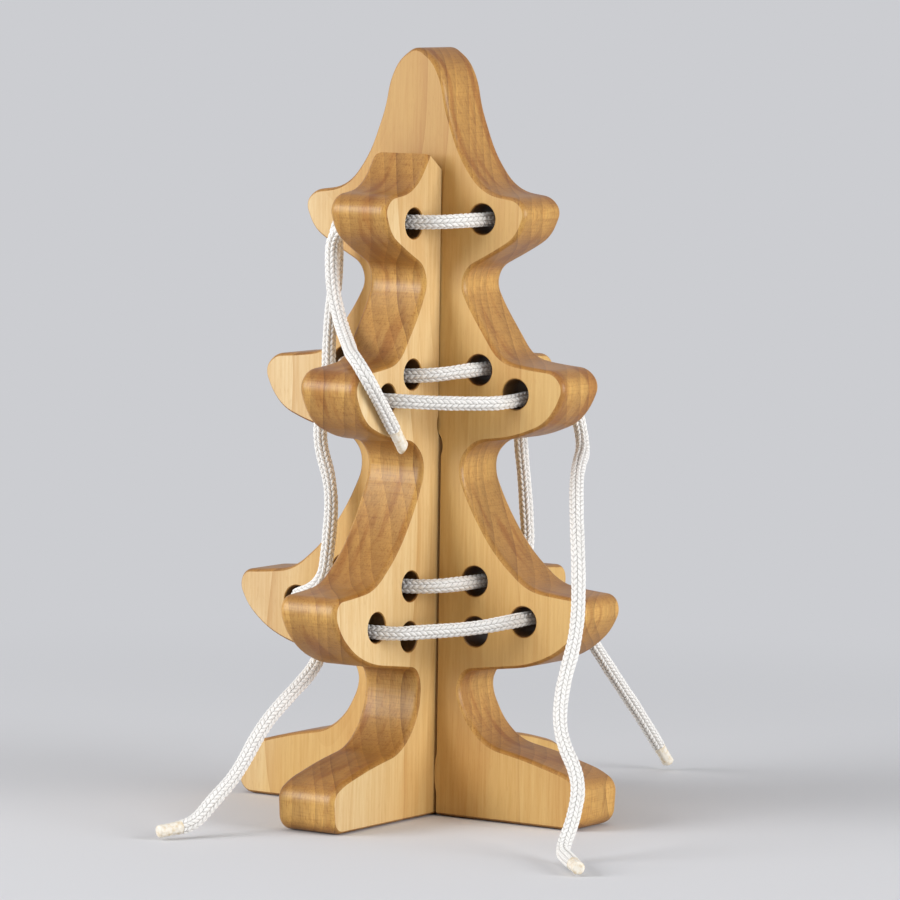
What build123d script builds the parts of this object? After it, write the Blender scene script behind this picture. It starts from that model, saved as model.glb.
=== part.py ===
# A wooden threading tree: two boards of nearly one outline, slotted together at right
# angles, with two laces threaded through the holes of their branches.
# Millimetres, +Z up. The origin is on the floor, under the line where the boards cross.

from build123d import *
import math
import os

os.makedirs("parts", exist_ok=True)

# The boards
board_thickness = 18.0
tree_height = 206.8
tip_half_width = 9.6
waist_half_width = 16.8
edge_rounding = 2.0
face_sanding = 0.4

# How far each tier of branches reaches from the middle. The feet reach as far as the
# bottom tier, because both are sawn to the full width of the board.
top_reach = 35.5
middle_reach = 48.5
bottom_reach = 56.2
foot_reach = bottom_reach

# Heights of the waists, where the outline is narrowest, as shares of the tree's height
upper_waist_share = 0.6954
middle_waist_share = 0.4584
lower_waist_share = 0.1692
upper_waist = upper_waist_share * tree_height
middle_waist = middle_waist_share * tree_height
lower_waist = lower_waist_share * tree_height

# The boards are sawn by hand, so the tree board's tiers sit a little higher or lower than
# the cross board's, its feet are a little taller and its holes a little higher
tree_top_raise = -0.45
tree_middle_raise = 0.2
tree_bottom_raise = -0.5
tree_foot_raise = 2.6

# The lacing holes
hole_diameter = 8.0
hole_rim_break = 0.35
tree_holes_raise = 1.2

# The slots: one board's slot slips over the other board
tree_slot_gap = 0.9
cross_slot_gap = 0.3
slot_corner_radius = 5.3
slot_corner_relief = 0.5
slot_end_clearance = 0.3
tree_slot_height = 105.4
grip_clearance = 0.2
grip_length = 11.0
grip_height = 11.5

# The bevels on the two prongs of the cross board, with their drops below the tree's tip
prong_ridge_reach = 15.0
prong_ridge_drop = 28.3
prong_wall_drop = 32.3
bevel_right_rounding = 0.5
bevel_left_rounding = 3.0

# The laces and their hardened ends
lace_diameter = 3.7
tip_length = 7.0
tip_end_rounding = 0.6

# A cutter runs this far past what it cuts
overrun = 5.0

# Corners of the outline from the top down. Across is a share of the tip's half width.
# Up is a share of the height from the upper waist to the top.
tip_shares = [(0.14, 1.0), (0.622, 0.949), (0.925, 0.86), (1.06, 0.746)]

# Below the tip, across is a share of the way from the waist's half width to the tier's
# reach, and up is a share of the height from the waist below the tier to the one above.
top_tier_shares = [
    (-0.086, 0.546), (0.3, 0.406), (0.877, 0.384), (1.037, 0.325),
    (0.877, 0.213), (0.556, 0.155), (0.043, 0.076), (-0.043, 0.0),
]
middle_tier_shares = [
    (0.07, 0.871), (0.369, 0.594), (0.653, 0.568), (0.915, 0.556), (1.022, 0.469),
    (0.946, 0.347), (0.814, 0.249), (0.511, 0.171), (0.132, 0.139), (-0.003, 0.049),
]
bottom_tier_shares = [
    (-0.008, 0.962), (0.096, 0.819), (0.284, 0.635), (0.553, 0.488), (0.792, 0.47),
    (0.975, 0.462), (1.018, 0.388), (0.944, 0.291), (0.782, 0.197), (0.558, 0.134),
    (0.259, 0.109), (0.041, 0.09), (-0.01, 0.023),
]
foot_shares = [
    (0.005, 0.851), (0.096, 0.669), (0.246, 0.54), (0.538, 0.486),
    (0.881, 0.389), (1.01, 0.311), (0.995, 0.069), (0.931, 0.0),
]

# Places of the lacing holes, in the same shares of their own tier. On the tree board's
# left side the outer middle hole sits nearer the slot and lower than on the right.
top_hole_shares = [(0.278, 0.265)]
middle_hole_shares = [(0.155, 0.518), (0.524, 0.398)]
tree_left_middle_hole_shares = [(0.155, 0.518), (0.41, 0.352)]
bottom_hole_shares = [(0.114, 0.473), (0.513, 0.311), (0.122, 0.246)]

# How much of its shorter run the rounding of a corner takes up
outline_run_share = 0.48
lace_run_share = 0.45

# The laces' routes, chosen by hand, from one hardened end to the other.
# The top lace hangs its high end over the front branch, goes round the top holes,
# drops to the outer bottom holes, goes round those and ends on the floor.
top_lace_route = [
    (11.4, -33.8, 106.4), (11.6, -39.2, 113.0), (12.5, -46.2, 120.2), (9.4, -45.6, 125.4),
    (3.2, -38.6, 125.9), (-4.2, -30.8, 127.4), (-11.8, -24.8, 132.4), (-17.0, -23.1, 143.5),
    (-17.2, -22.0, 161.0), (12.3, -22.0, 160.7), (22.0, -12.3, 161.6), (22.0, 12.3, 161.6),
    (12.3, 22.0, 160.7), (-12.3, 22.0, 160.7), (-22.0, 12.3, 161.6), (-21.7, -14.9, 161.9),
    (-20.2, -15.6, 147.0), (-22.6, -15.7, 131.0), (-22.4, -16.0, 113.5), (-25.4, -16.9, 101.5),
    (-21.2, -15.0, 87.0), (-21.6, -16.2, 71.0), (-23.6, -16.0, 60.4), (-36.9, -13.6, 55.8),
    (-37.0, 11.5, 55.5), (-29.2, 20.3, 54.6), (-20.0, 28.9, 53.2), (-11.5, 37.0, 52.0),
    (11.5, 37.0, 52.0), (19.8, 28.6, 52.8), (28.6, 19.4, 53.9), (37.0, 11.5, 55.5),
    (37.0, -11.5, 55.5), (29.0, -19.7, 53.4), (19.4, -28.8, 52.6), (11.5, -37.0, 52.0),
    (-15.0, -36.8, 53.4), (-12.5, -36.6, 39.6), (-13.2, -45.8, 32.6), (-15.0, -55.6, 24.6),
    (-16.2, -64.6, 15.2), (-17.8, -72.8, 9.2), (-19.6, -79.2, 3.2), (-21.2, -82.6, 2.8),
]

# The middle lace starts on the floor at the front, climbs behind the right branch, goes
# round the outer and the inner middle holes, drops to the inner bottom holes, goes round
# those and ends on the floor behind.
middle_lace_route = [
    (88.3, -62.6, 1.9), (83.6, -57.6, 1.9), (77.2, -51.3, 2.6), (76.9, -45.2, 9.6),
    (75.2, -39.3, 19.5), (66.0, -35.4, 29.6), (60.8, -27.0, 40.0), (59.4, -17.0, 54.5),
    (57.2, -13.4, 70.0), (51.8, -6.6, 84.5), (45.0, 3.8, 95.0), (37.8, 19.4, 100.0),
    (33.4, 18.0, 116.5), (33.4, -11.5, 113.9), (25.6, -19.2, 113.2), (18.6, -25.8, 113.4),
    (11.5, -33.4, 114.0), (-11.5, -33.4, 113.8), (-19.4, -27.2, 112.9), (-28.0, -19.4, 112.2),
    (-29.8, -11.5, 111.9), (-29.8, 11.5, 111.9), (-24.9, 19.0, 112.6), (-18.6, 26.3, 113.0),
    (-11.5, 33.4, 113.6), (11.5, 33.4, 113.6), (20.5, 27.0, 116.6), (21.7, 13.0, 121.6),
    (21.7, -11.5, 121.6), (11.5, -21.7, 119.6), (-11.5, -21.7, 119.6), (-21.7, -11.5, 121.6),
    (-21.7, 11.5, 121.6), (-11.5, 21.7, 119.6), (15.4, 21.7, 120.0), (16.0, 20.2, 102.0),
    (17.2, 21.6, 87.5), (21.4, 18.0, 64.6), (21.3, -11.5, 64.2), (11.5, -21.3, 63.1),
    (-11.5, -21.3, 63.1), (-21.3, -11.5, 64.2), (-21.3, 11.5, 64.2), (-11.5, 21.3, 63.1),
    (16.0, 21.6, 63.8), (15.6, 41.0, 59.0), (13.0, 54.6, 48.6), (12.2, 66.4, 38.9),
    (12.6, 78.6, 27.2), (13.5, 90.2, 15.9), (14.6, 97.6, 7.2),
]


def in_tier(shares, reach, low, high):
    """Places across and up, from shares of one tier."""
    wide = reach - waist_half_width
    tall = high - low
    return [(waist_half_width + across * wide, low + up * tall) for across, up in shares]


def raised(places, rise):
    """The same places, all a little higher."""
    return [(across, up + rise) for across, up in places]


def corner_radii(points, run_share, closed):
    """The radius at each corner, as large as a share of its shorter run allows."""
    vectors = [Vector(*point) for point in points]
    count = len(vectors)
    corners = range(count) if closed else range(1, count - 1)
    radii = []
    for i in corners:
        before = vectors[i] - vectors[i - 1]
        after = vectors[(i + 1) % count] - vectors[i]
        half_turn = math.radians(before.get_angle(after)) / 2
        radii.append(run_share * min(before.length, after.length) / math.tan(half_turn))
    return radii


def board_outline(top_raise, middle_raise, bottom_raise, foot_raise):
    """The outline of a board, rounded at every corner."""
    tip_room = tree_height - upper_waist
    tip = [(across * tip_half_width, upper_waist + up * tip_room) for across, up in tip_shares]
    top = in_tier(top_tier_shares, top_reach, upper_waist, tree_height)
    middle = in_tier(middle_tier_shares, middle_reach, middle_waist, upper_waist)
    bottom = in_tier(bottom_tier_shares, bottom_reach, lower_waist, middle_waist)
    right_side = (
        tip
        + raised(top, top_raise)
        + raised(middle, middle_raise)
        + raised(bottom, bottom_raise)
        + in_tier(foot_shares, foot_reach, 0, lower_waist + foot_raise)
    )
    left_side = [(-across, up) for across, up in reversed(right_side)]
    corners = right_side + left_side
    radii = corner_radii(corners, outline_run_share, True)
    return FilletPolyline(*corners, radius=radii, close=True)


def hole_places(middle_shares):
    """The middles of the lacing holes on one side of a board."""
    return (
        in_tier(top_hole_shares, top_reach, upper_waist, tree_height)
        + in_tier(middle_shares, middle_reach, middle_waist, upper_waist)
        + in_tier(bottom_hole_shares, bottom_reach, lower_waist, middle_waist)
    )


cross_holes = hole_places(middle_hole_shares)
tree_right_holes = raised(cross_holes, tree_holes_raise)
tree_left_holes = raised(hole_places(tree_left_middle_hole_shares), tree_holes_raise)


def blank_board(outline, right_holes, left_holes):
    """An outline cut from a board, its edges rounded over and its holes drilled."""
    face = Plane.XZ * make_face(outline)
    board = extrude(face, board_thickness / 2 + face_sanding, both=True)
    by_face = board.edges().group_by(Axis.Y)
    board = fillet(by_face[0] + by_face[-1], edge_rounding)

    # The faces are sanded flat after that, which leaves a crisp line round each of them
    length = 2 * (bottom_reach + foot_reach)
    board &= Box(length, board_thickness, 2 * (tree_height + overrun))
    drill = Cylinder(hole_diameter / 2, board_thickness + overrun, rotation=(90, 0, 0))
    for across, up in right_holes + [(-across, up) for across, up in left_holes]:
        board -= Pos(across, 0, up) * drill
    rims = board.edges().filter_by(lambda edge: edge.is_closed)
    return chamfer(rims, hole_rim_break)


def slot_flat_half_width(gap):
    """Half width of the flat part of a slot's end, between the relieved corners."""
    return board_thickness / 2 + gap + slot_corner_relief - slot_corner_radius


def slot_corner_rise(gap):
    """How far a slot's end corner has risen where it passes the other board's face."""
    corner_run = board_thickness / 2 - slot_flat_half_width(gap)
    return slot_corner_radius - math.sqrt(slot_corner_radius**2 - corner_run**2)


def slot_cutter(depth, gap):
    """A slot that opens downward at height 0, with relieved corners at its end."""
    half_width = board_thickness / 2 + gap
    corner_height = depth - slot_corner_radius
    opening = Pos(0, (corner_height - overrun) / 2) * Rectangle(
        2 * half_width, corner_height + overrun
    )
    flat = slot_flat_half_width(gap)
    profile = opening + Pos(0, depth / 2) * Rectangle(2 * flat, depth)
    for side in (1, -1):
        profile += Pos(side * flat, corner_height) * Circle(slot_corner_radius)
    return extrude(Plane.XZ * profile, board_thickness / 2 + overrun, both=True)


def grip(side):
    """A low bump on one wall of the tree board's slot, which grips the cross board."""
    wall = side * (board_thickness / 2 + tree_slot_gap)
    crest = side * (board_thickness / 2 + grip_clearance)
    bump = ThreePointArc(
        (wall, grip_height - grip_length / 2),
        (crest, grip_height),
        (wall, grip_height + grip_length / 2),
    )
    back = Line(bump @ 1, bump @ 0)
    return extrude(Plane.XZ * make_face([bump, back]), board_thickness / 2, both=True)


# The tree board stands across the front, with its slot open at the bottom
tree_outline = board_outline(
    tree_top_raise, tree_middle_raise, tree_bottom_raise, tree_foot_raise
)
tree_board = blank_board(tree_outline, tree_right_holes, tree_left_holes)
tree_board -= slot_cutter(tree_slot_height, tree_slot_gap)
tree_board += [grip(1), grip(-1)]
tree_board.label = "tree_board"

# The two boards would meet first where the rounded slot corners pass each other, so the
# cross board's slot ends lower by what both corners rise there, and both stand on the floor.
corner_rises = slot_corner_rise(tree_slot_gap) + slot_corner_rise(cross_slot_gap)
cross_slot_end = tree_slot_height - corner_rises - slot_end_clearance

# The cross board's slot is open at the top, so its cutter is turned over
cross_cutter = slot_cutter(tree_height - cross_slot_end, cross_slot_gap)
cross_cutter = Pos(0, 0, tree_height) * Rot(0, 180, 0) * cross_cutter
cross_blank = blank_board(board_outline(0, 0, 0, 0), cross_holes, cross_holes)
slot_prongs = cross_blank - cross_cutter

# Each prong is bevelled towards the slot, from a ridge near its outer side
prong_ridge_height = tree_height - prong_ridge_drop
prong_wall_height = tree_height - prong_wall_drop
bevel_rise = prong_ridge_height - prong_wall_height
prong_wall_reach = board_thickness / 2 + cross_slot_gap
bevel_run = prong_ridge_reach - prong_wall_reach
bevel_top = prong_ridge_height + bevel_rise
bevel = Polyline(
    (0, prong_wall_height - bevel_rise * prong_wall_reach / bevel_run),
    (prong_ridge_reach + bevel_run, bevel_top),
    (prong_ridge_reach + bevel_run, tree_height + overrun),
    (0, tree_height + overrun),
    close=True,
)
bevel_cutter = extrude(
    Plane.XZ * make_face(bevel), board_thickness / 2 + overrun, both=True
)
prongs = slot_prongs - bevel_cutter - mirror(bevel_cutter, Plane.YZ)

# The bevels' own edges are eased on the right face and rounded more on the left one
right_face_edges, left_face_edges = (
    [
        edge
        for edge in prongs.edges().group_by(Axis.Y)[place]
        if edge.geom_type == GeomType.LINE
        and abs(edge.center().X) < prong_ridge_reach
        and prong_wall_height < edge.center().Z < prong_ridge_height
    ]
    for place in (0, -1)
)
prongs = fillet(right_face_edges, bevel_right_rounding)
prongs = fillet(left_face_edges, bevel_left_rounding)
cross_board = Rot(0, 0, 90) * prongs
cross_board.label = "cross_board"


def lace(name, route):
    """A lace along its route: straight runs joined by arcs as large as they allow."""
    radii = corner_radii(route, lace_run_share, False)
    path = FilletPolyline(*route, radius=radii)
    start = Plane(path @ 0, z_dir=path % 0)
    solid = sweep(start * Circle(lace_diameter / 2), path=path)
    solid.label = name
    section = math.pi * lace_diameter**2 / 4
    print(name, "length", round(path.length, 1), "radii", [round(r, 1) for r in radii])
    print(name, "volume over section times length", solid.volume / (section * path.length))
    return solid


def hardened_tip(name, base, before):
    """The glued end of a lace, straight on from the lace's last run."""
    outward = Vector(*base) - Vector(*before)
    place = Plane(base, z_dir=outward)
    tip_solid = extrude(place * Circle(lace_diameter / 2), tip_length)
    far_rim = tip_solid.edges().sort_by(Axis(base, outward))[-1]
    tip_solid = fillet(far_rim, tip_end_rounding)
    tip_solid.label = name
    return tip_solid


pieces = [
    tree_board,
    cross_board,
    lace("top_lace", top_lace_route),
    lace("middle_lace", middle_lace_route),
    hardened_tip("top_lace_high_tip", top_lace_route[0], top_lace_route[1]),
    hardened_tip("top_lace_floor_tip", top_lace_route[-1], top_lace_route[-2]),
    hardened_tip("middle_lace_front_tip", middle_lace_route[0], middle_lace_route[1]),
    hardened_tip("middle_lace_back_tip", middle_lace_route[-1], middle_lace_route[-2]),
]
for piece in pieces:
    export_step(piece, os.path.join("parts", piece.label + ".step"))
    box = piece.bounding_box()
    print(piece.label, "volume", round(piece.volume, 1), "from", box.min, "to", box.max)

print("cross board slot end", round(cross_slot_end, 3))
for side, holes in (
    ("tree board right", tree_right_holes),
    ("tree board left", tree_left_holes),
    ("cross board", cross_holes),
):
    print(side, "holes", [(round(across, 3), round(up, 3)) for across, up in holes])
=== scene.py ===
# %% [markdown]
# # A wooden threading tree
# Two slotted boards cross at right angles, and two white braided laces are threaded
# through the holes of their branches. The boards come ready made as the fixed frame.
# This lesson gives them their wood, braids the laces along their routes, hardens the
# lace ends with glue, and lights the tree on a pale table.

# %% Load the frame
import math
from types import SimpleNamespace
import bmesh
import bpy
from mathutils import Matrix, Vector


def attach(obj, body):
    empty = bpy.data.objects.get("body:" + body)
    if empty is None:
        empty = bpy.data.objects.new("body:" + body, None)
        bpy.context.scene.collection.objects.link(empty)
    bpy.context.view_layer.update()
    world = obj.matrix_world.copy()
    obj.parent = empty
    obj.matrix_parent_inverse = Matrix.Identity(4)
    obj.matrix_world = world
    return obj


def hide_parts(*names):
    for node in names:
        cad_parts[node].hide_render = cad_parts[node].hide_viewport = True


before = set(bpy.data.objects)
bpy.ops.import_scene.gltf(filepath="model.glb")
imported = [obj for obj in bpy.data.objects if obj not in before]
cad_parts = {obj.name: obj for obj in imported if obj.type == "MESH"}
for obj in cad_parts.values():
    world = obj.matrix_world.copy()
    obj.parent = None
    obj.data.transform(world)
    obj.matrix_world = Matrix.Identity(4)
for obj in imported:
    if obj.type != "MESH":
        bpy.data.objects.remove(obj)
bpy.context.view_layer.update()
MM = 0.001
mm_per_metre = 1000
print("boards and laces in the frame:", sorted(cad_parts))

# %% [markdown]
# ## The camera
# The picture was taken with a long lens from a little above the table, so lines that
# run upward hardly lean together. The camera looks at one point near the middle of the
# tree, turned to its right and tipped by less than a degree.

# %% Camera
# Lens and sensor in millimetres, and how far the camera sees in metres
camera_azimuth = math.radians(33.754)
camera_elevation = math.radians(5.359)
camera_roll = math.radians(0.824)
camera_distance = 1529.2 * MM
camera_aim = Vector((4.77, 3.0, 97.97)) * MM
camera_lens = 225.7
camera_sensor_width = 36
camera_sees_to = 20

towards_camera = Vector((
    math.sin(camera_azimuth) * math.cos(camera_elevation),
    -math.cos(camera_azimuth) * math.cos(camera_elevation),
    math.sin(camera_elevation),
))
level_right = Vector((math.cos(camera_azimuth), math.sin(camera_azimuth), 0))
level_up = towards_camera.cross(level_right)
camera_right = math.cos(camera_roll) * level_right + math.sin(camera_roll) * level_up
camera_up = math.cos(camera_roll) * level_up - math.sin(camera_roll) * level_right

camera = bpy.data.objects.new("camera", bpy.data.cameras.new("camera"))
camera.data.lens = camera_lens
camera.data.sensor_width = camera_sensor_width
camera.data.clip_end = camera_sees_to
turned = Matrix((camera_right, camera_up, towards_camera)).transposed().to_4x4()
camera.matrix_world = Matrix.Translation(camera_aim + towards_camera * camera_distance) @ turned
bpy.context.scene.collection.objects.link(camera)
bpy.context.scene.camera = camera
print("camera stands at", [round(c, 3) for c in camera.matrix_world.translation])

# %% [markdown]
# ## Sums on sockets
# A material is a web of small nodes. Written out one by one they hide the idea, so this
# class wraps a socket and lets Python's signs add the nodes: `grain * 0.4 + ring` makes
# a Multiply and an Add. The same class serves materials and Geometry Nodes.

# %% A socket that takes part in sums
class Field:
    """A socket of a tree of nodes, which takes part in sums as a number does."""

    def __init__(self, tree, socket=None):
        self.tree = tree
        self.socket = socket

    def node(self, kind, sockets=(), output=0, **settings):
        """Any node: its settings first, then the values or links of its sockets."""
        made = self.tree.nodes.new(kind)
        for name, value in settings.items():
            setattr(made, name, value)
        for key, value in dict(sockets).items():
            match = [s for s in made.inputs if key in (s.identifier, s.name)]
            target = made.inputs[key] if isinstance(key, int) else match[0]
            if isinstance(value, Field):
                self.tree.links.new(value.socket, target)
            else:
                target.default_value = value
        return Field(self.tree, made.outputs[output])

    def also(self, output):
        """Another output of the same node."""
        return Field(self.tree, self.socket.node.outputs[output])

    def math(self, operation, *others):
        sockets = dict(enumerate((self, *others)))
        return self.node("ShaderNodeMath", sockets, operation=operation)

    def __add__(self, other):
        return self.math("ADD", other)

    def __sub__(self, other):
        return self.math("SUBTRACT", other)

    def __rsub__(self, other):
        return (self * -1).math("ADD", other)

    def __mul__(self, other):
        return self.math("MULTIPLY", other)

    def __truediv__(self, other):
        return self.math("DIVIDE", other)

    def __pow__(self, other):
        return self.math("POWER", other)

    __radd__ = __add__
    __rmul__ = __mul__

    def smooth(self, low, high):
        """Rises smoothly from 0 at low to 1 at high, or falls if high is the lower."""
        sockets = {"Value": self, "From Min": low, "From Max": high}
        return self.node("ShaderNodeMapRange", sockets, interpolation_type="SMOOTHSTEP")

    def blend(self, first, second):
        """This field mixes two colours: first at 0, second at 1."""
        sockets = {"Factor_Float": self, "A_Color": first, "B_Color": second}
        return self.node("ShaderNodeMix", sockets, output=2, data_type="RGBA")

    def tint(self, colour, amount):
        """This colour multiplied by another, as far as amount says."""
        sockets = {"Factor_Float": amount, "A_Color": self, "B_Color": colour}
        return self.node(
            "ShaderNodeMix", sockets, output=2, data_type="RGBA", blend_type="MULTIPLY"
        )


print("a field can be added, multiplied, smoothed, blended and tinted")


# %% Vectors, noise, colours and empty materials
def vector(x, y, z):
    """A vector field from three number fields."""
    return x.node("ShaderNodeCombineXYZ", {0: x, 1: y, 2: z})


def noise(place, scale, detail=2.0, roughness=0.5):
    """A soft random field between about 0 and 1, with its mean at one half."""
    sockets = {"Vector": place, "Scale": scale, "Detail": detail, "Roughness": roughness}
    return place.node("ShaderNodeTexNoise", sockets, noise_dimensions="3D")


def new_material(name):
    """An empty material, its tree and its shader."""
    material = bpy.data.materials.new(name)
    material.use_nodes = True
    tree = material.node_tree
    shader = tree.nodes["Principled BSDF"]
    return material, Field(tree), shader


def plug(field, shader, name):
    """Links a field to a socket of the shader."""
    field.tree.links.new(field.socket, shader.inputs[name])


def srgb(red, green, blue):
    """A colour as a painter reads it, 0 to 255, turned into light."""
    def light(value):
        value = value / 255
        return value / 12.92 if value <= 0.04045 else ((value + 0.055) / 1.055) ** 2.4
    return (light(red), light(green), light(blue), 1)


print("middle grey as light:", [round(c, 3) for c in srgb(128, 128, 128)[:3]])

# %% [markdown]
# ## Oiled wood
# Each board is solid wood with its grain upright. A tree grows in rings round its pith,
# so the material works out how far each point is from a pith that lies outside the
# board. Each ring gets its own strength and ends in a thin warm line of late wood.
# Fibres are noise that is drawn out along the grain. Because the pattern fills space,
# the same rings show as lines on the faces and as bands on the edges, where the cut
# wood drinks more oil and is darker. The edges were rounded first and the faces sanded
# flat afterwards, so the paler face ends in a crisp line, which a mask on the direction
# of the surface draws. One side of each board is paler sapwood.

# %% Wood colours
sap_wood = srgb(231, 207, 162)
heart_wood = srgb(219, 183, 117)
ring_shade = srgb(236, 218, 190)
cloud_shade = srgb(226, 200, 165)
line_wood = srgb(186, 136, 74)
side_wood = srgb(215, 168, 92)
end_wood = srgb(178, 128, 64)
deep_wood = srgb(112, 70, 32)
blotch_shade = srgb(205, 165, 120)
sander_shade = srgb(190, 155, 120)
fleck_shade = srgb(205, 170, 130)
# Painted shade deep inside the holes
bore_shade_colour = srgb(62, 38, 18)
# How much darker and cooler each board turns towards its top
top_darkening_tint = srgb(238, 232, 222)
print("heart wood as light:", [round(c, 3) for c in heart_wood[:3]])

# %% Where the holes are
# Across and up in millimetres, on the cross board. The tree board's are a little higher.
# Its one hole that is out of line stays with its twin's place here.
hole_places = [
    (22.0, 160.5), (21.7, 120.2), (33.4, 114.3), (21.3, 63.3), (37.0, 53.6), (21.6, 49.7),
]

# The painted shade in a bore sets in between two distances from its middle, given as squares
shade_in_bore_begins = 17.7
shade_in_bore_is_full = 16.4
far_from_holes = 1000


def painted_bore_shade(place, holes_rise):
    """1 on the walls of the holes, where dark shade is painted, and 0 away from them."""
    nearest = place.across * 0 + far_from_holes
    for hole_across, hole_up in hole_places:
        aside = place.across.math("ABSOLUTE") - hole_across
        above = place.height - (hole_up + holes_rise)
        nearest = nearest.math("MINIMUM", aside ** 2.0 + above ** 2.0)
    return nearest.smooth(shade_in_bore_begins, shade_in_bore_is_full)


print(len(hole_places), "holes on each side of a board")


# %% Places in a board
def board_place(start, thickness_axis, seed):
    """Where a point is in its board, in millimetres, and which way its surface faces."""
    where = start.node("ShaderNodeTexCoord", output="Object")
    split = where.node("ShaderNodeSeparateXYZ", {0: where})
    facing = where.node("ShaderNodeSeparateXYZ", {0: where.also("Normal")})
    across, through = (split, split.also(1)) if thickness_axis == "Y" else (split.also(1), split)
    turned_out = facing.also(1) if thickness_axis == "Y" else facing
    across = across * mm_per_metre
    return SimpleNamespace(
        across=across,
        through=through * mm_per_metre,
        height=split.also(2) * mm_per_metre,
        other=across + seed,
        flat=turned_out.math("ABSOLUTE"),
        lies=facing.also(2).math("ABSOLUTE"),
    )


# How fine each pattern is across, through and along the board, for each millimetre
fineness = {
    "wander": (0.011, 0.011, 0.007),
    "fibre": (1.3, 1.3, 0.05),
    "fleck": (2.4, 2.4, 0.35),
    "cloud": (0.045, 0.045, 0.014),
    "sander": (2.3, 0.14, 2.3),
    "blotch": (0.06, 0.25, 0.035),
}


def grain_noise(place, pattern, detail, roughness=0.5):
    """Noise drawn out as one of the patterns. A seed moves each board to other wood."""
    across, through, along = fineness[pattern]
    stretched = vector(place.other * across, place.through * through, place.height * along)
    return noise(stretched, 1.0, detail, roughness)


print("patterns in the wood:", ", ".join(fineness))

# %% Growth rings
ring_wander = 26.0
ring_fineness = 0.11
ring_unevenness = 3.0
late_wood_sharpness = 7.0


def growth_rings(place, pith, ring_width):
    """The slow wander of the rings, the way through a ring, its strength and late wood."""
    wander = grain_noise(place, "wander", 2.0)
    from_pith = (place.across - pith[0]) ** 2.0 + (place.through - pith[1]) ** 2.0
    radius = from_pith.math("SQRT") + wander * ring_wander
    uneven = noise(vector(radius * ring_fineness, radius * 0.0, radius * 0.0), 1.0, 1.0)
    rings = radius / ring_width + uneven * ring_unevenness
    phase = rings.math("FRACT")
    own = rings.node("ShaderNodeTexWhiteNoise", {"W": rings.math("FLOOR")}, noise_dimensions="1D")
    late = phase ** late_wood_sharpness * own.smooth(0.2, 1.2)
    return wander, phase, own, late


print("rings wander by up to", ring_wander, "mm")

# %% Colours of the faces and of the edges
sapwood_leans_below = 100.0
sapwood_lean = 0.25


def face_colour(place, rings, fibre, fleck, sap_from, sap_to):
    """Long grain, paler in the sapwood, which runs out towards the foot."""
    wander, phase, own, late = rings
    lean = (sapwood_leans_below - place.height).math("MAXIMUM", 0.0) * sapwood_lean
    sap = (place.across + lean + wander * 12 - 6).smooth(sap_from, sap_to)
    cloud = grain_noise(place, "cloud", 2.0)
    face = sap.blend(heart_wood, sap_wood)
    face = face.tint(ring_shade, fibre.smooth(0.3, 0.72) * 0.5 + own * 0.2 + phase * 0.2)
    face = (late * 0.6).blend(face, line_wood)
    face = (fleck.smooth(0.55, 0.75) * 0.22).blend(face, line_wood)
    return face.tint(cloud_shade, cloud.smooth(0.4, 0.75) * 0.6)


def edge_colour(place, rings, fibre, fleck, marks):
    """Rings as bands, darkest on end grain, crossed by the fine marks of the sander."""
    wander, phase, own, late = rings
    blotch = grain_noise(place, "blotch", 2.0)
    side = place.lies.smooth(0.12, 0.95).blend(side_wood, end_wood)
    bands = phase * 0.3 + late * 0.4 + fibre.smooth(0.4, 0.75) * 0.2
    side = bands.blend(side, deep_wood)
    side = side.tint(blotch_shade, blotch.smooth(0.48, 0.7) * 0.6)
    side = side.tint(sander_shade, marks.smooth(0.45, 0.75) * 0.3)
    return side.tint(fleck_shade, fleck.smooth(0.5, 0.7) * 0.5)


print("the sapwood leans out below", sapwood_leans_below, "mm")

# %% The wood material
edge_begins = 0.96
edge_is_full = 0.86
top_darkening_from = 150.0
top_darkening_to = 190.0


def wood(name, thickness_axis, holes_rise, pith, ring_width, sap_from, sap_to, seed):
    """Solid wood for a board whose thickness runs along X or Y."""
    material, start, shader = new_material(name)
    place = board_place(start, thickness_axis, seed)
    rings = growth_rings(place, pith, ring_width)
    fibre = grain_noise(place, "fibre", 3.0, 0.65)
    fleck = grain_noise(place, "fleck", 2.0, 0.6)
    marks = grain_noise(place, "sander", 2.0, 0.6)

    # The face ends in a crisp line, and shade is painted dark inside the holes
    on_edge = place.flat.smooth(edge_begins, edge_is_full)
    face = face_colour(place, rings, fibre, fleck, sap_from, sap_to)
    colour = on_edge.blend(face, edge_colour(place, rings, fibre, fleck, marks))
    bore_shading = painted_bore_shade(place, holes_rise) * on_edge
    colour = (bore_shading * 0.8).blend(colour, bore_shade_colour)
    # Each board turns a little darker and cooler towards its top, between 150 and 190 mm up
    colour = colour.tint(top_darkening_tint, place.height.smooth(top_darkening_from, top_darkening_to))
    plug(colour, shader, "Base Color")
    plug(0.54 - fibre * 0.16 - fleck * on_edge * 0.1, shader, "Roughness")
    shader.inputs["Specular IOR Level"].default_value = 0.4

    late = rings[-1]
    relief = fibre * 0.5 + late * 0.3 + fleck * -0.3 + marks * on_edge * 0.4
    bump = relief.node(
        "ShaderNodeBump", {"Strength": 0.3, "Distance": 0.0001, "Height": relief}
    )
    plug(bump, shader, "Normal")
    return material


# The holes' rise, the pith's place, a ring's width, where the sapwood begins and is
# full, all in millimetres, and a seed
for node, thickness_axis, *grain in (
    ("tree_board", "Y", 1.2, (-22.0, -48.0), 3.4, -16.0, -38.0, 11.0),
    ("cross_board", "X", 0.0, (55.0, 105.0), 3.8, 30.0, -45.0, 187.0),
):
    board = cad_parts[node]
    board.data.materials.clear()
    board.data.materials.append(wood(node + "_wood", thickness_axis, *grain))
    print(node, "is", len(board.data.polygons), "triangles of oiled wood")

# %% [markdown]
# ## The routes of the laces
# Each lace is one limp cord, threaded by hand. Its route is a list of points chosen from
# the picture, in the order a child would thread it. A NURBS spline with those points as
# its control points makes one smooth line, rounder than straight runs with arcs. All
# places are in millimetres.

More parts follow.
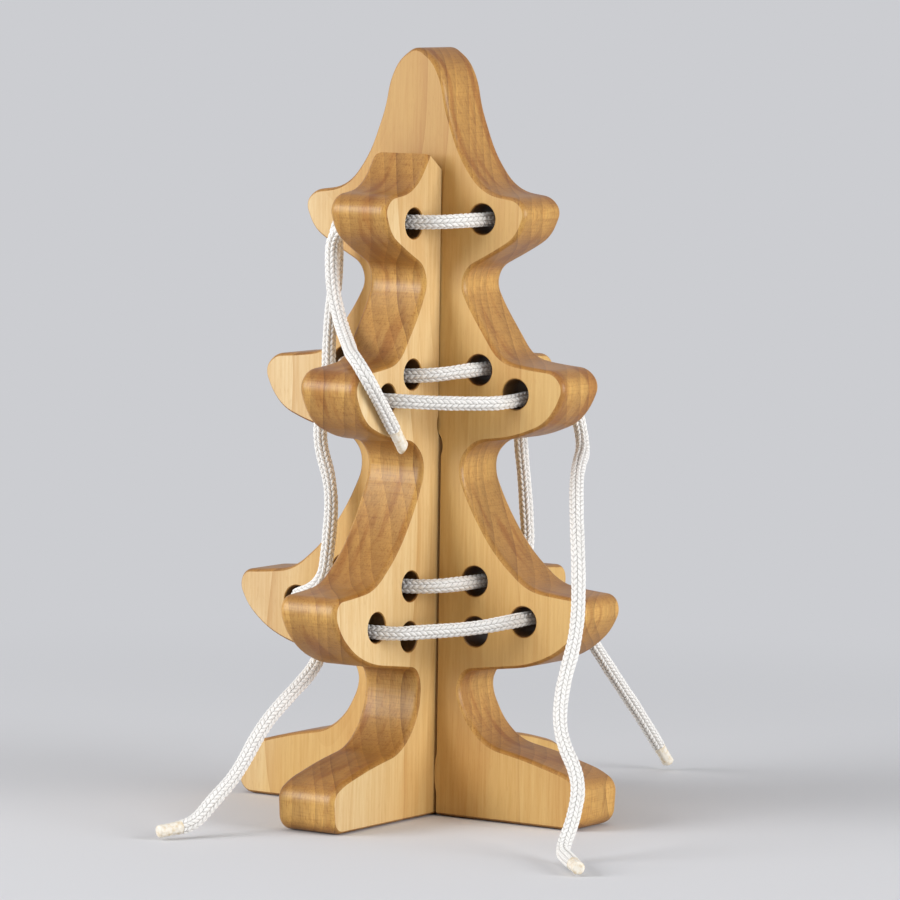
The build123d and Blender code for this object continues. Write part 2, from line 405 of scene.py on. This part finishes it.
# %% Lace routes
# The top lace hangs its high end over the front branch, goes round the top holes, drops
# to the outer bottom holes, goes round those and ends on the floor.
top_lace_route = [
    (11.4, -33.8, 106.4), (11.3, -39.4, 113.0), (11.9, -46.6, 120.2), (7.7, -46.7, 125.7),
    (1.5, -39.7, 126.2), (-5.0, -31.4, 127.4), (-12.2, -25.0, 132.4), (-17.0, -23.1, 143.5),
    (-17.2, -22.0, 161.0), (12.3, -22.0, 160.7), (22.0, -12.3, 161.6), (22.0, 12.3, 161.6),
    (12.3, 22.0, 160.7), (-12.3, 22.0, 160.7), (-22.0, 12.3, 161.6), (-21.7, -14.9, 161.9),
    (-20.2, -15.6, 147.0), (-22.6, -15.7, 131.0), (-22.4, -16.0, 113.5), (-25.4, -16.9, 101.5),
    (-21.2, -15.0, 87.0), (-21.6, -16.2, 71.0), (-23.6, -16.0, 60.4), (-36.9, -13.6, 55.8),
    (-37.0, 11.5, 55.5), (-29.2, 20.3, 54.6), (-20.0, 28.9, 53.2), (-11.5, 37.0, 52.0),
    (11.5, 37.0, 52.0), (19.8, 28.6, 52.8), (28.6, 19.4, 53.9), (37.0, 11.5, 55.5),
    (37.0, -11.5, 55.5), (29.0, -19.7, 53.4), (19.4, -28.8, 52.6), (11.5, -37.0, 52.0),
    (-15.0, -36.8, 53.4), (-12.6, -31.4, 44.8), (-13.0, -36.3, 39.3), (-14.0, -45.9, 33.5),
    (-15.2, -55.1, 26.8), (-16.2, -64.6, 15.2), (-17.8, -72.8, 9.2), (-19.6, -79.2, 3.2),
    (-21.2, -82.6, 2.8),
]

# The middle lace starts on the floor at the front, climbs behind the right branch, goes
# round the outer and the inner middle holes, drops to the inner bottom holes, goes round
# those and ends on the floor behind.
middle_lace_route = [
    (88.3, -62.6, 2.0), (83.6, -57.6, 2.0), (77.2, -51.3, 2.6), (76.9, -45.2, 9.6),
    (75.2, -39.3, 19.5), (66.0, -35.4, 29.6), (60.8, -27.0, 40.0), (59.4, -17.0, 54.5),
    (57.2, -13.4, 70.0), (51.8, -6.6, 84.5), (45.0, 3.8, 95.0), (37.8, 19.4, 100.0),
    (33.4, 18.0, 115.8), (33.4, -11.5, 113.3), (25.6, -19.2, 113.2), (18.6, -25.8, 113.4),
    (11.5, -33.4, 114.0), (-11.5, -33.4, 113.8), (-19.0, -26.8, 113.4), (-26.8, -18.8, 113.2),
    (-29.8, -11.5, 111.9), (-29.8, 11.5, 111.9), (-24.9, 19.0, 112.6), (-18.6, 26.3, 113.0),
    (-11.5, 33.4, 113.6), (11.5, 33.4, 113.6), (20.5, 27.0, 116.6), (21.7, 13.0, 121.6),
    (21.7, -11.5, 121.6), (11.5, -21.7, 119.6), (-11.5, -21.7, 119.6), (-21.7, -11.5, 121.6),
    (-21.7, 11.5, 121.6), (-11.5, 21.7, 119.6), (15.4, 21.7, 120.0), (16.0, 20.2, 102.0),
    (17.2, 21.6, 87.5), (21.4, 18.0, 64.6), (21.3, -11.5, 64.2), (11.5, -21.3, 63.1),
    (-11.5, -21.3, 63.1), (-21.3, -11.5, 64.2), (-21.3, 11.5, 64.2), (-11.5, 21.3, 63.1),
    (16.0, 21.6, 63.8), (15.6, 41.0, 59.0), (13.0, 54.6, 48.6), (12.2, 66.4, 38.9),
    (12.6, 78.6, 27.2), (13.5, 90.2, 15.9), (14.6, 97.6, 7.2),
]
print("route points:", len(top_lace_route), "and", len(middle_lace_route))


# %% One smooth line along a route
def smooth_line(name, route):
    """A NURBS spline that has the route as its control points, as a mesh of one line."""
    curve = bpy.data.curves.new(name, "CURVE")
    curve.dimensions = "3D"
    curve.resolution_u = 32
    spline = curve.splines.new("NURBS")
    spline.points.add(len(route) - 1)
    for control, place in zip(spline.points, route):
        control.co = (*(Vector(place) * MM), 1)
    spline.order_u = 3
    spline.use_endpoint_u = True
    holder = bpy.data.objects.new(name, curve)
    line = bpy.data.meshes.new_from_object(holder)
    bpy.data.objects.remove(holder)
    return line


def line_points(line):
    """The places of the line's points, from one end to the other."""
    return [vertex.co.copy() for vertex in line.vertices]


lace_lines = {
    "top_lace": smooth_line("top_lace_line", top_lace_route),
    "middle_lace": smooth_line("middle_lace_line", middle_lace_route),
}
for name, line in lace_lines.items():
    points = line_points(line)
    steps = [(b - a).length for a, b in zip(points, points[1:])]
    print(name, len(points), "points,", round(sum(steps) / MM, 1), "mm")

# %% [markdown]
# ## The braid
# Sixteen bundles of thread cross over and under each other round the lace. Seen from
# outside that makes eight columns of plump stitches, and the stitches of neighbouring
# columns slant opposite ways, so they meet in small arrows along the lace. One formula
# gives the height of that surface from the turn round the lace and the way along it.
# The Geometry Nodes use it to move the surface, and the material uses it again to
# darken the gaps, so form and colour always agree.

# %% The height of a braid
braid_columns = 8
stitch_pitch = 1.55
stitch_slant = 0.8
stitch_squareness = 2.6


def braid(cos_turn, sin_turn, along):
    """Fields on a braid: its height from 0 to 1, and places on a stitch."""
    turn = sin_turn.math("ARCTAN2", cos_turn) * (braid_columns / math.tau) + braid_columns
    column = turn.math("FRACT") - 0.5
    odd = (turn.math("FLOOR") * 0.5).math("FRACT") * 2
    lean = 1 - odd * 2
    place = along / stitch_pitch + column * lean * stitch_slant + odd * 0.5
    stitch = place.math("FRACT") - 0.5
    over = 1 - (stitch * 2).math("ABSOLUTE") ** stitch_squareness
    wide = 1 - (column * 2).math("ABSOLUTE") ** stitch_squareness
    height = over.math("MAXIMUM", 0.0).math("SQRT") * wide.math("MAXIMUM", 0.0).math("SQRT")
    return height, column, stitch, lean, place


print("one stitch is", stitch_pitch, "mm long")


# %% The tree of nodes that braids a lace
stitch_mean_height = 0.62
swelling_share = 0.8
swellings_per_mm = 0.09


def braid_tree():
    """Geometry Nodes: a line becomes a braided lace."""
    tree = bpy.data.node_groups.new("braided lace", "GeometryNodeTree")
    socket = tree.interface.new_socket
    socket("Line", in_out="INPUT", socket_type="NodeSocketGeometry")
    socket("Diameter", in_out="INPUT", socket_type="NodeSocketFloat")
    socket("Step", in_out="INPUT", socket_type="NodeSocketFloat")
    socket("Relief", in_out="INPUT", socket_type="NodeSocketFloat")
    socket("Sides", in_out="INPUT", socket_type="NodeSocketInt")
    socket("Seed", in_out="INPUT", socket_type="NodeSocketInt")
    socket("Thread", in_out="INPUT", socket_type="NodeSocketMaterial")
    socket("Lace", in_out="OUTPUT", socket_type="NodeSocketGeometry")
    given = Field(tree).node("NodeGroupInput")
    diameter, step, relief = given.also("Diameter"), given.also("Step"), given.also("Relief")

    # The line as a curve with even steps, and its length so far on every point
    path = given.node("GeometryNodeMeshToCurve", {"Mesh": given.also("Line")})
    path = path.node(
        "GeometryNodeResampleCurve", {"Curve": path, "Length": step}, mode="LENGTH"
    )
    along = path.node("GeometryNodeSplineParameter", output="Length")

    # A round profile that knows its own turn
    ring = path.node(
        "GeometryNodeCurvePrimitiveCircle",
        {"Resolution": given.also("Sides"), "Radius": diameter * 0.5},
    )
    turn = ring.node("GeometryNodeInputPosition")
    unit = turn.node("ShaderNodeVectorMath", {0: turn}, operation="NORMALIZE")
    ring = ring.node(
        "GeometryNodeStoreNamedAttribute",
        {"Geometry": ring, "Name": "turn", "Value": unit},
        data_type="FLOAT_VECTOR",
    )
    path = path.node(
        "GeometryNodeStoreNamedAttribute",
        {"Geometry": path, "Name": "along", "Value": along * mm_per_metre},
        data_type="FLOAT",
    )
    tube = path.node(
        "GeometryNodeCurveToMesh",
        {"Curve": path, "Profile Curve": ring, "Fill Caps": True},
    )

    # The stitches stand proud and the gaps sink, each lace a little unevenly
    named_turn = tube.node(
        "GeometryNodeInputNamedAttribute", {"Name": "turn"}, data_type="FLOAT_VECTOR"
    )
    named_along = tube.node(
        "GeometryNodeInputNamedAttribute", {"Name": "along"}, data_type="FLOAT"
    )
    parts = named_turn.node("ShaderNodeSeparateXYZ", {0: named_turn})
    height = braid(parts, parts.also(1), named_along)[0]
    uneven = named_along.node(
        "ShaderNodeTexNoise",
        {"W": named_along * swellings_per_mm + given.also("Seed"), "Scale": 1.0, "Detail": 2.0},
        noise_dimensions="1D",
    )
    out = (height - stitch_mean_height) * relief + (uneven - 0.5) * relief * swelling_share
    normal = tube.node("GeometryNodeInputNormal")
    shift = normal.node(
        "ShaderNodeVectorMath", {"Vector": normal, "Scale": out}, operation="SCALE"
    )
    tube = tube.node("GeometryNodeSetPosition", {"Geometry": tube, "Offset": shift})
    tube = tube.node("GeometryNodeSetShadeSmooth", {"Geometry": tube, "Shade Smooth": True})
    tube = tube.node("GeometryNodeRealizeInstances", {"Geometry": tube})
    tube = tube.node(
        "GeometryNodeSetMaterial", {"Geometry": tube, "Material": given.also("Thread")}
    )
    last = tree.nodes.new("NodeGroupOutput")
    tree.links.new(tube.socket, last.inputs[0])
    return tree


lace_nodes = braid_tree()
print("the braid takes", len(lace_nodes.nodes), "nodes")


# %% [markdown]
# ## White thread
# The lace is white polyester thread with a soft sheen. The gaps between stitches are
# grey where light can't reach, and each stitch is a bundle of fine threads that run
# along its slant.

# %% The thread material
thread_white = srgb(248, 247, 245)
thread_shade = srgb(226, 223, 219)
gap_grey = srgb(184, 179, 174)
threads_in_stitch = 4.5
threads_slant = 1.6


def thread_material():
    """White braided thread that follows the turn and the way along the lace."""
    material, start, shader = new_material("white_braid")
    turn = start.node("ShaderNodeAttribute", output="Vector", attribute_name="turn")
    along = start.node("ShaderNodeAttribute", output="Fac", attribute_name="along")
    parts = turn.node("ShaderNodeSeparateXYZ", {0: turn})
    height, column, stitch, lean, place = braid(parts, parts.also(1), along)
    threads = (column * threads_in_stitch - stitch * lean * threads_slant) * math.tau
    threads = threads.math("SINE") * 0.5 + 0.5
    fuzz = noise(vector(column * 6.0, place * 3.0, along * 0.4), 1.0, 2.0)
    soiled = noise(vector(along * 0.05, parts * 0.6, parts.also(1) * 0.6), 1.0, 2.0)
    colour = (fuzz.smooth(0.35, 0.75) * 0.6 + soiled.smooth(0.5, 0.8) * 0.4).blend(
        thread_white, thread_shade
    )
    colour = height.smooth(0.7, 0.1).blend(colour, gap_grey)
    plug(colour, shader, "Base Color")
    plug(0.58 + fuzz * 0.15, shader, "Roughness")
    relief = height + threads * 0.12
    bump = relief.node(
        "ShaderNodeBump", {"Strength": 0.8, "Distance": 0.00025, "Height": relief}
    )
    plug(bump, shader, "Normal")
    shader.inputs["Sheen Weight"].default_value = 0.25
    return material


white_braid = thread_material()
print("thread material made:", white_braid.name)


# %% Braid both laces
lace_diameter = 3.7
lace_relief = 0.4
lace_sunk = 0.1
lace_step = 0.27
lace_sides = 32


def braided(name, line, seed):
    """The finished lace, with its modifier worked out and removed."""
    holder = bpy.data.objects.new(name, line)
    bpy.context.scene.collection.objects.link(holder)
    nodes = holder.modifiers.new("braid", "NODES")
    nodes.node_group = lace_nodes
    values = {
        "Diameter": (lace_diameter - lace_sunk) * MM,
        "Step": lace_step * MM,
        "Relief": lace_relief * MM,
        "Sides": lace_sides,
        "Seed": seed,
        "Thread": white_braid,
    }
    for item in lace_nodes.interface.items_tree:
        if item.name in values and item.in_out == "INPUT":
            nodes[item.identifier] = values[item.name]
    graph = bpy.context.evaluated_depsgraph_get()
    mesh = bpy.data.meshes.new_from_object(holder.evaluated_get(graph), depsgraph=graph)
    holder.modifiers.clear()
    holder.data = mesh
    mesh.name = name
    return holder


laces = {}
for seed, (name, line) in enumerate(lace_lines.items()):
    laces[name] = braided(name + "_braid", line, seed)
    mesh = laces[name].data
    mesh.calc_loop_triangles()
    print(name, "has", len(mesh.loop_triangles), "triangles")

# %% [markdown]
# ## Hardened ends
# The ends are dipped in glue so that they don't fray and are easy to push through a
# hole. The braid still shows faintly under the cream-coloured skin, the end is pinched a
# little thinner, and its tip is cut and rounded. Each end is built ring by ring: a
# profile gives the radius, and the braid's own count of columns dents it.

# %% The glue material
glue_cream = srgb(240, 234, 222)
glue_amber = srgb(222, 204, 172)
glue_lumps_per_metre = 900.0
glue_grain_per_metre = 3200.0


def glue_material():
    """Cream glue over thread, amber where it lies thick."""
    material, start, shader = new_material("hardened_glue")
    where = start.node("ShaderNodeTexCoord", output="Object")
    thick = noise(where, glue_lumps_per_metre, 2.0)
    fine = noise(where, glue_grain_per_metre, 2.0)
    colour = thick.smooth(0.4, 0.75).blend(glue_cream, glue_amber)
    plug(colour, shader, "Base Color")
    plug(0.5 - thick * 0.2, shader, "Roughness")
    relief = thick + fine * 0.4
    bump = relief.node(
        "ShaderNodeBump", {"Strength": 0.4, "Distance": 0.00015, "Height": relief}
    )
    plug(bump, shader, "Normal")
    shader.inputs["Coat Weight"].default_value = 0.25
    shader.inputs["Coat Roughness"].default_value = 0.3
    return material


hardened_glue = glue_material()
print("glue material made:", hardened_glue.name)

# %% From a shape to an object
def placed(name, shape):
    """A new object in the scene, made of a shape that isn't needed afterwards."""
    mesh = bpy.data.meshes.new(name)
    shape.to_mesh(mesh)
    shape.free()
    made = bpy.data.objects.new(name, mesh)
    bpy.context.scene.collection.objects.link(made)
    return made


print("pieces so far:", len(laces), "braided laces")

# %% The form of a hardened end
tip_length = 7.0
tip_sides = 48
tip_rings = 40
tip_dent = 0.09
tip_waist = 0.92
tip_rounding = 0.75
tip_cut_share = 0.62
dents_fade_over = 3


def tip_radius(along):
    """The radius of an end there: a little pinched, and rounded towards its tip."""
    pinch = 1 - (1 - tip_waist) * math.sin(math.pi * along / tip_length)
    left = tip_length - along
    dome = math.sqrt(max(0, 1 - max(0, 1 - left / tip_rounding) ** 2))
    return (lace_diameter / 2 - tip_dent) * pinch * (tip_cut_share + (1 - tip_cut_share) * dome)


def tip_dents(along, turn):
    """How far the braid under the glue lifts or dents the end there."""
    lean = 1 if math.floor(turn * braid_columns / math.tau) % 2 else -1
    stitch = math.cos(math.tau * along / stitch_pitch + lean * turn * 2)
    groove = math.cos(turn * braid_columns)
    fade = min(1, (tip_length - along) / dents_fade_over) * tip_dent
    return fade * (0.5 * stitch - 0.5 * groove)


print("an end is", round(tip_radius(tip_length / 2) * 2, 2), "mm thick in its middle")


# %% One hardened end
def hardened_end(name, base, before, slant):
    """A glued lace end that runs straight on from the lace, cut at a slant."""
    forward = (Vector(base) - Vector(before)).normalized()
    aside = forward.orthogonal().normalized()
    beside = forward.cross(aside)
    shape = bmesh.new()
    rings = []
    for i in range(tip_rings + 1):
        along = tip_length * i / tip_rings
        ring = []
        for j in range(tip_sides):
            turn = math.tau * j / tip_sides
            out = tip_radius(along) + tip_dents(along, turn)
            cut = slant * out * math.cos(turn) * (along / tip_length) ** 6
            place = (
                Vector(base) + forward * (along + cut)
                + aside * out * math.cos(turn) + beside * out * math.sin(turn)
            )
            ring.append(shape.verts.new(place * MM))
        rings.append(ring)
    for near, far in zip(rings, rings[1:]):
        for j in range(tip_sides):
            k = (j + 1) % tip_sides
            shape.faces.new((near[j], near[k], far[k], far[j]))
    shape.faces.new(list(reversed(rings[0])))
    shape.faces.new(rings[-1])
    bmesh.ops.recalc_face_normals(shape, faces=shape.faces)
    end = placed(name, shape)
    for face in end.data.polygons:
        face.use_smooth = len(face.vertices) == 4
    end.data.materials.append(hardened_glue)
    return end


# Each end's place on its route, and how far its cut slants
ends = {}
for node, route, first, slant in (
    ("top_lace_high_tip", top_lace_route, 0, 0.7),
    ("top_lace_floor_tip", top_lace_route, -1, 0.0),
    ("middle_lace_front_tip", middle_lace_route, 0, 0.1),
    ("middle_lace_back_tip", middle_lace_route, -1, -0.15),
):
    second = 1 if first == 0 else -2
    ends[node] = hardened_end(node + "_glued", route[first], route[second], slant)
    print(node, "is", len(ends[node].data.polygons), "faces")

# %% [markdown]
# ## Telling the frame what moves
# Laces and ends ride on the tree board, because they lift with it. Each stands for its plain tube
# in the frame.

# %% Ride and replace
for name, piece in laces.items():
    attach(piece, "tree")
    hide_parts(name)
for node, piece in ends.items():
    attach(piece, "tree")
    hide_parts(node)
for name, piece in laces.items():
    print(name, "rides on the tree board")

# %% [markdown]
# ## Table and light
# The picture was taken on a pale table in front of a pale wall, under large soft lamps.
# The floor is one wide disc. Close to the tree it is a plain pale surface that takes
# shadows, and further out it fades into the colour of the wall, so that no horizon line
# shows from any side. The camera sees the floor a little cooler and brighter than it is
# for the light that it throws back, which keeps the undersides of the branches dark.

# %% Floor
# Lengths in metres
wall_colour = srgb(204, 205, 209)
floor_seen = srgb(216, 217, 221)
floor_bounce = srgb(200, 198, 196)
floor_radius = 6.0
floor_gap = 0.0002
floor_sides = 96
wall_colour_from = 0.16
wall_colour_to = 0.42


def disc(name, radius, drop):
    """A flat round floor with its top a hair below the feet."""
    shape = bmesh.new()
    bmesh.ops.create_circle(shape, cap_ends=True, segments=floor_sides, radius=radius)
    bmesh.ops.translate(shape, verts=shape.verts, vec=(0, 0, -drop))
    return placed(name, shape)


def seen_ray(start):
    """1 where the camera looks, straight or by way of a shine or a glass."""
    rays = start.node("ShaderNodeLightPath", output="Is Camera Ray")
    shine = rays.also("Is Glossy Ray")
    through = rays.also("Is Transmission Ray")
    return rays.math("MAXIMUM", shine).math("MAXIMUM", through)


def floor_material():
    """Pale near the tree, and the wall's own colour far out."""
    material, start, shader = new_material("pale_table")
    plug(seen_ray(start).blend(floor_bounce, floor_seen), shader, "Base Color")
    shader.inputs["Roughness"].default_value = 0.9
    where = start.node("ShaderNodeTexCoord", output="Object")
    reach = where.node("ShaderNodeVectorMath", {0: where}, output="Value", operation="LENGTH")
    far = reach.smooth(wall_colour_from, wall_colour_to) * seen_ray(start)
    glow = start.node("ShaderNodeEmission", {"Color": wall_colour, "Strength": 1.0})
    surface = Field(start.tree, shader.outputs[0])
    mixed = start.node("ShaderNodeMixShader", {0: far, 1: surface, 2: glow})
    output = start.tree.nodes["Material Output"]
    start.tree.links.new(mixed.socket, output.inputs["Surface"])
    return material


floor = disc("table", floor_radius, floor_gap)
floor.data.materials.append(floor_material())
print("floor radius", floor_radius, "m")

# %% Wall and soft light
sky_light = 0.3
world = bpy.data.worlds.new("room")
bpy.context.scene.world = world
world.use_nodes = True
room = Field(world.node_tree)
wall = room.node("ShaderNodeBackground", {"Color": wall_colour, "Strength": 1.0})
glow = room.node("ShaderNodeBackground", {"Color": (1, 1, 1, 1), "Strength": sky_light})
seen = room.node("ShaderNodeMixShader", {0: seen_ray(room), 1: glow, 2: wall})
world.node_tree.links.new(seen.socket, world.node_tree.nodes["World Output"].inputs["Surface"])


def soft_lamp(name, azimuth, elevation, distance, size, power):
    """A square lamp that hangs round the tree and faces its middle."""
    azimuth, elevation = math.radians(azimuth), math.radians(elevation)
    outward = Vector((
        math.sin(azimuth) * math.cos(elevation),
        -math.cos(azimuth) * math.cos(elevation),
        math.sin(elevation),
    ))
    lamp = bpy.data.objects.new(name, bpy.data.lights.new(name, "AREA"))
    lamp.data.size = size
    lamp.data.energy = power
    lamp.location = camera_aim + outward * distance
    lamp.rotation_mode = "QUATERNION"
    lamp.rotation_quaternion = outward.to_track_quat("Z", "Y")
    bpy.context.scene.collection.objects.link(lamp)
    return lamp


# Angles in degrees, distance and size in metres, power in watts
for name, azimuth, elevation, distance, size, power in (
    ("right_softbox", 95, 11, 1.4, 0.8, 17.0),
    ("left_softbox", -36, 18, 1.5, 0.9, 20.0),
    ("top_softbox", 10, 80, 1.4, 1.0, 3.5),
):
    lamp = soft_lamp(name, azimuth, elevation, distance, size, power)
    print(name, power, "W at", [round(c, 2) for c in lamp.location])

# %% [markdown]
# ## Finish
# The colours are shown through the plain Standard view.

# %% Standard view
bpy.context.scene.view_settings.view_transform = "Standard"
